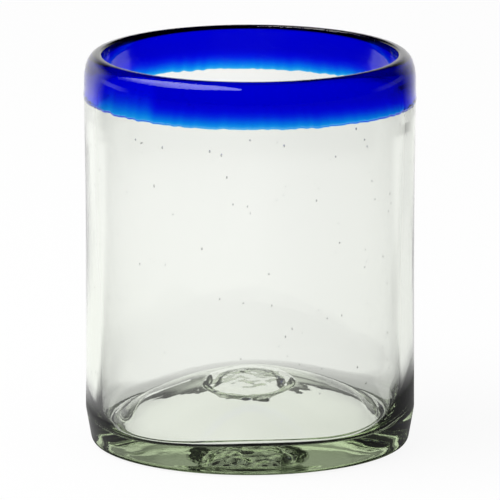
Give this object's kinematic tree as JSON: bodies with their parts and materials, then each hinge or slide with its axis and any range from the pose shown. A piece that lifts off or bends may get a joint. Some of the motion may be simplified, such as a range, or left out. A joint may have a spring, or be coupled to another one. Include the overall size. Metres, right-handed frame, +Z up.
{
  "type": "double old fashioned glass",
  "caption": "Hand-blown straight-sided tumbler for drinks: clear seeded glass with a heavy kicked-up base and a rolled cobalt-blue lip.",
  "frame": {"origin": "centre of the foot, on the plane that the glass stands on", "axes": "+Z up along the axis of revolution, from the foot to the mouth; X and Y are any pair across it"},
  "size_m": [0.0888, 0.0888, 0.106],
  "materials": {
    "clear_glass": "fire polished, with seeds",
    "cobalt_glass": "fire polished",
    "pontil_glass": "rough broken scar"
  },
  "bodies": {
    "root": {"clear_body": "clear_glass", "cobalt_rim": "cobalt_glass", "pontil_mark": "pontil_glass"}
  },
  "joints": []
}
